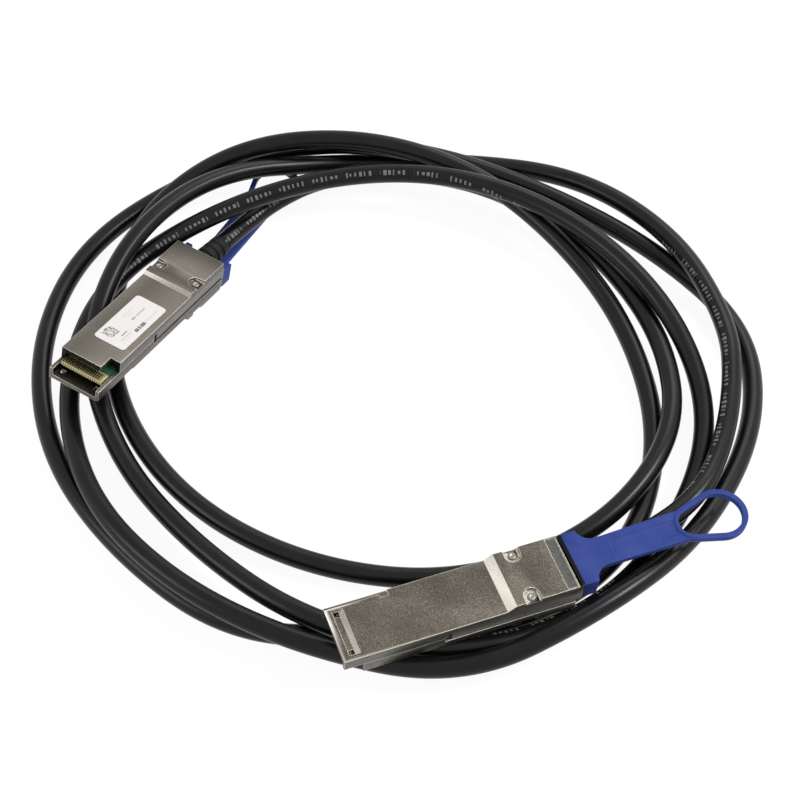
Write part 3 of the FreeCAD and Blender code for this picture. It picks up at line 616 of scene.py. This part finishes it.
def moulded(name, deep, plain, speck, roughness, bump, gloss):
    """Matt skin: a faint mottle of two tones and a fine relief, with speck and bump in mm.

    The relief's specks are drawn coarser than on the real skin, so that they show.
    """
    material, tree, surface = new_material(name)
    place = add_node(tree, "ShaderNodeTexCoord").outputs["Object"]
    skin = add_node(tree, "ShaderNodeTexNoise", {"Scale": 1 / (speck * MM), "Detail": 3.0},
                    {"Vector": place})
    cloud = add_node(tree, "ShaderNodeTexNoise", {"Scale": 1 / (MOULD_CLOUD * MM), "Detail": 2.0},
                     {"Vector": place})
    colour = add_node(tree, "ShaderNodeValToRGB", links={"Fac": cloud.outputs["Fac"]},
                      stops=[(0.3, linear(deep)), (0.7, linear(plain))])
    rough = add_node(tree, "ShaderNodeMapRange",
                     {"To Min": roughness - MOULD_SPREAD, "To Max": roughness + MOULD_SPREAD},
                     {"Value": skin.outputs["Fac"]})
    relief = add_node(tree, "ShaderNodeBump", {"Strength": 0.4, "Distance": bump * MM},
                      {"Height": skin.outputs["Fac"]})
    shader = add_node(tree, "ShaderNodeBsdfPrincipled", {"Specular IOR Level": gloss, "IOR": 1.5},
                      {"Base Color": colour.outputs["Color"], "Roughness": rough.outputs[0],
                       "Normal": relief.outputs["Normal"]})
    tree.links.new(shader.outputs[0], surface)
    return material


def make_blue():
    """Pull tabs: moulded thermoplastic rubber, deep blue with a dry satin skin."""
    return moulded("moulded_blue_rubber", "#2e4086", "#3b4a8f",
                   speck=0.5, roughness=0.52, bump=0.012, gloss=0.1)


def make_blue_edge():
    """Edges of the tabs, rubbed smoother and a little paler by handling."""
    return moulded("rubbed_blue_edge", "#4453a0", "#505da9",
                   speck=0.5, roughness=0.45, bump=0.008, gloss=0.15)


def make_boot():
    """Strain reliefs: soft black rubber, greyer and drier than the jacket."""
    return moulded("moulded_black_rubber", "#1a1a1a", "#242424",
                   speck=0.6, roughness=0.55, bump=0.015, gloss=0.14)


def make_yoke_painted_shade():
    """Yoke of the slide: near-black and almost without gloss, a painted shade for the shadowed gap behind
    the plug.
    """
    return moulded("black_yoke_painted_shade", "#0a0a0a", "#101010",
                   speck=0.4, roughness=0.55, bump=0.004, gloss=0.08)


def make_board(plug):
    """Paddle card: green resist on glass epoxy, with a bare edge zone that carries gold fingers.

    Places are turned into the plug's frame; fingers are stripes of one contact pitch across it.
    """
    material, tree, surface = new_material("green_resist_on_glass_epoxy_" + plug)
    place = add_node(tree, "ShaderNodeTexCoord").outputs["Object"]
    back = Matrix(plug_turn(plug).T.tolist())
    shift = back @ (-MM * Vector(PLUG_LIES[plug][0]))
    local = add_node(tree, "ShaderNodeMapping", {"Location": shift, "Rotation": back.to_euler()},
                     {"Vector": place})
    split = add_node(tree, "ShaderNodeSeparateXYZ", links={"Vector": local.outputs[0]})
    count = add_node(tree, "ShaderNodeMath",
                     {"operation": "MULTIPLY_ADD", 1: 1 / (CONTACT_PITCH * MM), 2: FINGER_SHIFT},
                     {0: split.outputs["Y"]})
    stripe = add_node(tree, "ShaderNodeMath", {"operation": "FRACT"}, {0: count.outputs[0]})
    finger = add_node(tree, "ShaderNodeMath", {"operation": "LESS_THAN", 1: FINGER_SHARE},
                      {0: stripe.outputs[0]})
    weave = add_node(tree, "ShaderNodeTexNoise", {"Scale": 1 / (BOARD_WEAVE * MM), "Detail": 2.0},
                     {"Vector": place})
    resist = add_node(tree, "ShaderNodeValToRGB", links={"Fac": weave.outputs["Fac"]},
                      stops=[(0.3, linear("#1f4634")), (0.7, linear("#2b5b43"))])
    bare = add_node(tree, "ShaderNodeMix",
                    {"data_type": "RGBA", UNDER: linear("#7f7a5c"), OVER: linear("#d3c999")},
                    {SHARE: finger.outputs[0]})
    front = add_node(tree, "ShaderNodeMath", {"operation": "LESS_THAN", 1: FINGER_END * MM},
                     {0: split.outputs["X"]})
    colour = add_node(tree, "ShaderNodeMix", {"data_type": "RGBA"},
                      {SHARE: front.outputs[0], UNDER: resist.outputs["Color"], OVER: bare.outputs[MIXED]})
    shader = add_node(tree, "ShaderNodeBsdfPrincipled", {"Roughness": 0.4, "Specular IOR Level": 0.4},
                      {"Base Color": colour.outputs[MIXED]})
    tree.links.new(shader.outputs[0], surface)
    return material


def make_label_paper():
    """Coated label stock: warm white with faint coarse fibres, printed from its print attribute."""
    material, tree, surface = new_material("coated_label_paper")
    place = add_node(tree, "ShaderNodeTexCoord").outputs["Object"]
    ink = add_node(tree, "ShaderNodeAttribute", {"attribute_name": "print"})
    fibre = add_node(tree, "ShaderNodeTexNoise", {"Scale": 1 / (LABEL_FIBRE * MM), "Detail": 2.0},
                     {"Vector": place})
    paper = add_node(tree, "ShaderNodeValToRGB", links={"Fac": fibre.outputs["Fac"]},
                     stops=[(0.3, linear("#e6e2df")), (0.7, linear("#efebe8"))])
    colour = add_node(tree, "ShaderNodeMix", {"data_type": "RGBA", OVER: linear("#3a3a3c")},
                      {SHARE: ink.outputs["Fac"], UNDER: paper.outputs["Color"]})
    shader = add_node(tree, "ShaderNodeBsdfPrincipled", {"Roughness": 0.45, "Specular IOR Level": 0.4},
                      {"Base Color": colour.outputs[MIXED]})
    tree.links.new(shader.outputs[0], surface)
    return material


MATERIALS = {
    "cast_dark": make_cast_dark(),
    "cast_light": make_cast_light(),
    "cast_side": make_cast_side(),
    "inner_painted_shade": make_inner_painted_shade(),
    "rivet": make_rivet(),
    "painted_highlight": make_painted_highlight(),
    "satin": make_satin_painted_sheen(),
    "band": make_band(),
    "steel": make_steel(),
    "jacket": make_jacket(),
    "blue": make_blue(),
    "blue_edge": make_blue_edge(),
    "boot": make_boot(),
    "yoke_painted_shade": make_yoke_painted_shade(),
    "board_a": make_board("a"),
    "board_b": make_board("b"),
    "gold": make_gold(),
    "label": make_label_paper(),
}


# ---------------------------------------------------------------- cable

def make_cable():
    """The coiled cable: a round tube along the smooth route.

    Radius = CABLE_RADIUS * (CABLE_DRAWN + CABLE_UNEVEN * the product of two slow sines of the
    distance along it), a hair uneven as extruded.
    """
    line = route_line()
    along = distance_along(line)
    waves = np.sin(along / CABLE_WAVES[0]) * np.sin(along / CABLE_WAVES[1])
    radius = CABLE_RADIUS * MM * (CABLE_DRAWN + CABLE_UNEVEN * waves)
    mesh = swept_tube("cable_jacket", line, radius, CABLE_SIDES)
    piece = place_object("cable_jacket", mesh, [MATERIALS["jacket"]], "lead")
    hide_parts("cable")


# ---------------------------------------------------------------- plugs

FACING = 0.8                # share of a normal along an axis from which a face looks that way
RAMP_LEAN = 0.3             # least shares of a ramp's normal forwards and up or down
RAMP_RISE = 0.15


def on_side(at, out):
    """Faces that look sideways, forwards or back."""
    return (np.abs(out[:, 1]) > FACING) | (np.abs(out[:, 0]) > FACING)


def on_ramp(out, side):
    """Faces that lean forwards on the tab side (1) or the label side (-1)."""
    return (out[:, 0] < -RAMP_LEAN) & (side * out[:, 2] > RAMP_RISE)


def in_pocket(at, out):
    """Faces sunk below the block's faces, round the rivets."""
    near = np.abs(at[:, 0] - RIVET_AT) < POCKET_HALF_LENGTH
    near &= np.abs(np.abs(at[:, 1]) - RIVET_OUT) < POCKET_HALF_WIDTH
    sunk = [(at[:, 2] > low) & (at[:, 2] < high) for low, high in POCKET_LEVELS]
    return near & np.any(sunk, axis=0)


def inside_mouth(at, out):
    """Faces of the mouth: between the nose and its depth, within its width, and under the plate."""
    deep = (at[:, 0] > MOUTH_START) & (at[:, 0] < MOUTH_DEPTH)
    return deep & (np.abs(at[:, 1]) < MOUTH_HALF_WIDTH) & (np.abs(at[:, 2]) < MOUTH_HALF_HEIGHT)


def finish_shell(node, plug, kinds, paints):
    """A casting in the first of its kinds, its edges in the last; each test gives its faces a kind."""
    piece = edged_copy(node + plug, "lead", kinds, width=0.2)
    for kind, test in paints:
        paint_faces(piece, plug, test, kinds.index(kind))


def finish_shell_top(plug):
    """The tab-side casting: dark blasted faces, grey sides, a painted highlight on the long ramp and edges,
    and a plain rear band.
    """
    # the edges take the last kind, a near-white painted highlight
    kinds = ["cast_dark", "cast_side", "band", "inner_painted_shade", "satin", "painted_highlight"]
    finish_shell("shell_top_", plug, kinds, [
        ("cast_side", on_side),
        # painted highlight: the long ramp behind the nose is near-white
        ("painted_highlight", lambda at, out: on_ramp(out, 1) & (at[:, 0] > NOSE_LENGTH)),
        # painted sheen: the short ramps on the nose take the satin tone
        ("satin", lambda at, out: on_ramp(out, 1) & (at[:, 0] < NOSE_LENGTH)),
        ("band", lambda at, out: (at[:, 0] > PLUG_LENGTH - BAND_LENGTH) & (out[:, 2] > FACING)),
        ("satin", in_pocket),
        # painted shade: the mouth's inner faces are dark
        ("inner_painted_shade", inside_mouth),
    ])


def finish_shell_base(plug):
    """The label-side casting: smoother and paler, with grey sides, a painted sheen in the satin tone on its
    ramps and near wall, and a near-white painted highlight on its edges.
    """
    # the edges take the last kind, a near-white painted highlight
    kinds = ["cast_light", "cast_side", "inner_painted_shade", "satin", "painted_highlight"]
    finish_shell("shell_base_", plug, kinds, [
        ("cast_side", on_side),
        # painted reflection: the near wall takes the lighter satin tone up to where the slide's groove
        # starts
        ("satin", lambda at, out: (out[:, 1] < -FACING) & (at[:, 0] < GROOVE_START)),
        # painted sheen: the ramps take the satin tone
        ("satin", lambda at, out: on_ramp(out, -1)),
        ("satin", in_pocket),
        # painted shade: the mouth's inner faces are dark
        ("inner_painted_shade", inside_mouth),
    ])


def finish_rivets(plug):
    """Two set rivets: a straight pin, and at each end a rounded rim round a sunk middle.

    Each (radius, height) of the profile gives a ring: the rivet's place + radius * (cos, sin).
    """
    profile = [(radius, RIVET_LOW - rise) for radius, rise in reversed(RIVET_HEAD)]
    profile += [(RIVET_PIN, RIVET_LOW), (RIVET_PIN, RIVET_HIGH)]
    profile += [(radius, RIVET_HIGH + rise) for radius, rise in RIVET_HEAD]
    radius, height = np.array(profile).T[:, :, None]
    angle = np.linspace(0, 2 * math.pi, RIVET_SIDES, endpoint=False)
    for side, y in (("left", RIVET_OUT), ("right", -RIVET_OUT)):
        name = "rivet_%s_%s" % (side, plug)
        ring = np.broadcast_arrays(RIVET_AT + radius * np.cos(angle), y + radius * np.sin(angle), height)
        mesh = surface_mesh(name + "_set", to_table(plug, np.stack(ring, axis=-1)), True, caps=True)
        piece = place_object(name + "_set", mesh, [MATERIALS["rivet"]], "lead")
        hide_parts(name)


def finish_springs(plug):
    """Two wound return springs for the slide, drawn at one fixed length.

    Wire line: x = start + length * share of the spring, and across and up
    the coil's radius * (cos, sin) of 2 pi * turns * share.
    """
    coil = SPRING_RADIUS - SPRING_WIRE / 2
    share = np.linspace(0, 1, SPRING_TURNS * SPRING_STEPS + 1)
    angle = 2 * math.pi * SPRING_TURNS * share
    x = SPRING_START + SPRING_WIRE / 2 + (SPRING_LENGTH - SPRING_WIRE) * share
    ahead = plug_turn(plug) @ np.array([1.0, 0.0, 0.0])
    for side, y in (("left", SPRING_OUT), ("right", -SPRING_OUT)):
        name = "return_spring_%s_%s" % (side, plug)
        wire = to_table(plug, np.column_stack([x, y + coil * np.cos(angle), coil * np.sin(angle)]))
        mesh = swept_tube(name + "_wound", wire, SPRING_WIRE / 2 * MM, THIN_SIDES, ahead)
        piece = place_object(name + "_wound", mesh, [MATERIALS["steel"]], "lead")
        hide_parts(name)
        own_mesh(piece)


def finish_slide(plug):
    """The steel slide, bright along the arms, with painted shade on the yoke behind the plug."""
    piece = edged_copy("latch_slide_" + plug, "release_" + plug, ["steel", "yoke_painted_shade"],
                       width=0.1, rim=False)
    # painted shade: the yoke behind the plug is near-black
    paint_faces(piece, plug, lambda at, out: at[:, 0] > YOKE_START, 1)


def tab_height(plug, x):
    """Height of the tab's upper face above the split at a distance from the nose, bend included."""
    slope = math.tan(math.radians(TAB_BEND[plug]))
    past = np.maximum(np.asarray(x, float) - TAB_START - TAB_BEND_AT, 0.0)
    return TAB_TOP + past * slope


def bead(name, plug, path, radius, sink, kind="blue"):
    """A thin raised line on the tab: a small tube with a share of its radius sunk in the face."""
    heights = tab_height(plug, path[:, 0]) - radius * sink
    line = to_table(plug, np.column_stack([path, heights]))
    up = plug_turn(plug) @ np.array([0.0, 0.0, 1.0])
    mesh = swept_tube(name + plug, line, radius * MM, THIN_SIDES, up)
    place_object(name + plug, mesh, [MATERIALS[kind]], "release_" + plug)


def strap_path(corners):
    """Points every STRAP_STEP along the straight lines between corners counted from STRAP_START."""
    corners = np.array(corners) + (STRAP_START, 0.0)
    along = distance_along(corners)
    places = np.linspace(0, along[-1], int(along[-1] / STRAP_STEP) + 2)
    return np.column_stack([np.interp(places, along, corners[:, i]) for i in (0, 1)])


def lip_path():
    """The finger hole's front arc, offset outwards: centre + radius * (-cos, sin) over the spread."""
    angle = np.radians(np.linspace(-LIP_SPREAD, LIP_SPREAD, LIP_POINTS))
    radius = HOLE_RADIUS + LIP_OFFSET
    return np.column_stack([TAB_START + HOLE_AT - radius * np.cos(angle), radius * np.sin(angle)])


def finish_tab(plug):
    """The pull tab with softened edges, a raised lip at the finger hole and raised lines on the strap."""
    edged_copy("pull_tab_" + plug, "release_" + plug, ["blue", "blue_edge"],
               width=0.3, angle=40.0)
    bead("hole_lip_", plug, lip_path(), radius=0.42, sink=0.25)
    bead("strap_frame_", plug, strap_path(STRAP_FRAME), radius=0.16, sink=0.3)
    bead("strap_line_", plug, strap_path(STRAP_LINE), radius=0.14, sink=0.3, kind="blue_edge")


def finish_boot(plug):
    """The strain relief with rounded ribs."""
    edged_copy("strain_relief_" + plug, "lead", ["boot"], width=0.22, angle=25.0)


def label_print(x, y):
    """How dark the label is printed at a place, 0 to 1: plain bars and a field of random squares."""
    dark = np.zeros_like(x)
    for left, right, low, high, tone in LABEL_BARS:
        dark[(x > left) & (x < right) & (y > low) & (y < high)] = tone
    picks = np.random.default_rng(SQUARES_SEED).random((SQUARES, SQUARES)) > 0.5
    across = np.floor((x - SQUARES_CORNER[0]) / SQUARE_SIZE).astype(int)
    up = np.floor((y - SQUARES_CORNER[1]) / SQUARE_SIZE).astype(int)
    inside = (across >= 0) & (across < SQUARES) & (up >= 0) & (up < SQUARES)
    dark[inside] = SQUARES_DARK * picks[across[inside], up[inside]]
    return dark


def make_label():
    """The stuck-on label: a thin plate whose top is a grid that carries the print.

    x = length * u and y = v * half width, where near each end the half width is less by
    corner - root of (corner ^ 2 - (corner - distance to the end) ^ 2), which rounds the corners.
    """
    rows, columns = LABEL_POINTS
    u, v = np.meshgrid(np.linspace(0, 1, rows), np.linspace(-1, 1, columns), indexing="ij")
    x = u * LABEL_LENGTH
    inset = np.minimum(np.minimum(x, LABEL_LENGTH - x), LABEL_CORNER)
    short = LABEL_CORNER - np.sqrt(np.maximum(LABEL_CORNER ** 2 - (LABEL_CORNER - inset) ** 2, 0.0))
    y = v * (LABEL_WIDTH / 2 - short)
    height = np.full_like(x, -HALF_HEIGHT - LABEL_THICK)
    top = np.stack([x + LABEL_START, y + LABEL_SHIFT, height], axis=-1)
    mesh = surface_mesh("label_face", to_table("b", top), False)
    ink = mesh.attributes.new("print", "FLOAT", "POINT")
    ink.data.foreach_set("value", label_print(x.ravel(), y.ravel()))
    piece = place_object("label_face", mesh, [MATERIALS["label"]], "lead")
    wall = piece.modifiers.new("thickness", "SOLIDIFY")
    wall.thickness = (LABEL_THICK + LABEL_SINK) * MM
    wall.offset = -1.0
    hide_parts("label_b")


def dress_small_nodes():
    """Materials for the CAD pieces that are shown as they are: the paddle cards and contacts."""
    for plug in ("a", "b"):
        for node, kind in (("paddle_card_" + plug, "board_" + plug), ("contacts_" + plug, "gold")):
            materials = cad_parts[node].data.materials
            materials.clear()
            materials.append(MATERIALS[kind])


# ---------------------------------------------------------------- stage, light and camera

# Metres. The lamps face the coil's middle; each has its place, width, height and watts.
TABLE_HALF = 3.0
TABLE_DROP = 0.0002         # from the object's lowest point to the table top
TABLE_PALE = 0.8            # what the table top gives back to the object
TABLE_SHADED = 0.13         # the part of its seen white that takes the object's shadow
TABLE_GLOW = 0.93           # and the part that doesn't
WORLD_STRENGTH = 0.42
WHITE = (1.0, 1.0, 1.0, 1.0)
LAMPS = {
    "softbox_right": ((0.62, -0.02, 0.66), 0.22, 0.22, 4.6),
    "softbox_back": ((0.32, 0.62, 0.66), 0.5, 0.4, 2.0),
    "softbox_left": ((-0.72, -0.25, 0.42), 0.45, 0.3, 1.9),
}
CAMERA_AT = (0.0031, -0.3545, 0.4570)
CAMERA_TILT = 38.0          # degrees from straight down
SENSOR_WIDTH = 36.0         # mm
LENS = 80.1                 # mm
CLIP_START = 0.01


def white_for_view(tree, plain, bright):
    """Mixes to a bright closure for camera, glossy and transmission rays."""
    path = add_node(tree, "ShaderNodeLightPath")
    first = add_node(tree, "ShaderNodeMath", {"operation": "MAXIMUM"},
                     {0: path.outputs["Is Camera Ray"], 1: path.outputs["Is Glossy Ray"]})
    seen = add_node(tree, "ShaderNodeMath", {"operation": "MAXIMUM"},
                    {0: first.outputs[0], 1: path.outputs["Is Transmission Ray"]})
    return add_node(tree, "ShaderNodeMixShader", links={0: seen.outputs[0], 1: plain, 2: bright})


def make_floor():
    """A wide pale table top that keeps a soft shadow under the object."""
    mesh = bpy.data.meshes.new("table_top")
    corners = [(-1, -1), (1, -1), (1, 1), (-1, 1)]
    mesh.from_pydata([(x * TABLE_HALF, y * TABLE_HALF, -TABLE_DROP) for x, y in corners],
                     [], [(0, 1, 2, 3)])
    floor = bpy.data.objects.new("table_top", mesh)
    bpy.context.scene.collection.objects.link(floor)
    material, tree, surface = new_material("white_table_paper")
    matt = add_node(tree, "ShaderNodeBsdfDiffuse", {"Color": (TABLE_PALE, TABLE_PALE, TABLE_PALE, 1.0)})
    faint = add_node(tree, "ShaderNodeBsdfDiffuse",
                     {"Color": (TABLE_SHADED, TABLE_SHADED, TABLE_SHADED, 1.0)})
    glow = add_node(tree, "ShaderNodeEmission", {"Color": WHITE, "Strength": TABLE_GLOW})
    lit = add_node(tree, "ShaderNodeAddShader", links={0: faint.outputs[0], 1: glow.outputs[0]})
    mixed = white_for_view(tree, matt.outputs[0], lit.outputs[0])
    tree.links.new(mixed.outputs[0], surface)
    mesh.materials.append(material)


def make_world():
    """Plain soft ambient light that is seen as white."""
    world = bpy.data.worlds.new("studio")
    bpy.context.scene.world = world
    world.use_nodes = True
    tree = world.node_tree
    tree.nodes.clear()
    output = add_node(tree, "ShaderNodeOutputWorld")
    soft = add_node(tree, "ShaderNodeBackground", {"Color": WHITE, "Strength": WORLD_STRENGTH})
    white = add_node(tree, "ShaderNodeBackground", {"Color": WHITE, "Strength": 1.0})
    mixed = white_for_view(tree, soft.outputs[0], white.outputs[0])
    tree.links.new(mixed.outputs[0], output.inputs["Surface"])


def make_softbox(name, place, width, height, power):
    """A rectangular lamp that faces the origin."""
    data = bpy.data.lights.new(name, "AREA")
    data.shape = "RECTANGLE"
    data.size = width
    data.size_y = height
    data.energy = power
    lamp = bpy.data.objects.new(name, data)
    bpy.context.scene.collection.objects.link(lamp)
    away = np.asarray(place) / np.linalg.norm(place)
    right = np.cross((0.0, 0.0, 1.0), away)
    right /= np.linalg.norm(right)
    up = np.cross(away, right)
    lamp.matrix_world = Matrix([[right[i], up[i], away[i], place[i]] for i in range(3)] + [[0, 0, 0, 1]])


def make_camera():
    """Camera at the height and distance of a table-top product view, aimed at the coil's middle."""
    data = bpy.data.cameras.new("camera")
    data.sensor_width = SENSOR_WIDTH
    data.lens = LENS
    data.clip_start = CLIP_START
    camera = bpy.data.objects.new("camera", data)
    bpy.context.scene.collection.objects.link(camera)
    camera.location = CAMERA_AT
    camera.rotation_euler = (math.radians(CAMERA_TILT), 0.0, 0.0)
    bpy.context.scene.camera = camera


def main():
    """Dresses every piece, then adds the stage, the light and the camera."""
    bpy.context.scene.view_settings.view_transform = "Standard"
    make_camera()
    make_cable()
    for plug in ("a", "b"):
        finish_rivets(plug)
        finish_slide(plug)
        finish_springs(plug)
        finish_shell_top(plug)
        finish_shell_base(plug)
        finish_tab(plug)
        finish_boot(plug)
    make_label()
    dress_small_nodes()
    make_floor()
    make_world()
    for name, (place, width, height, power) in LAMPS.items():
        make_softbox(name, place, width, height, power)


main()
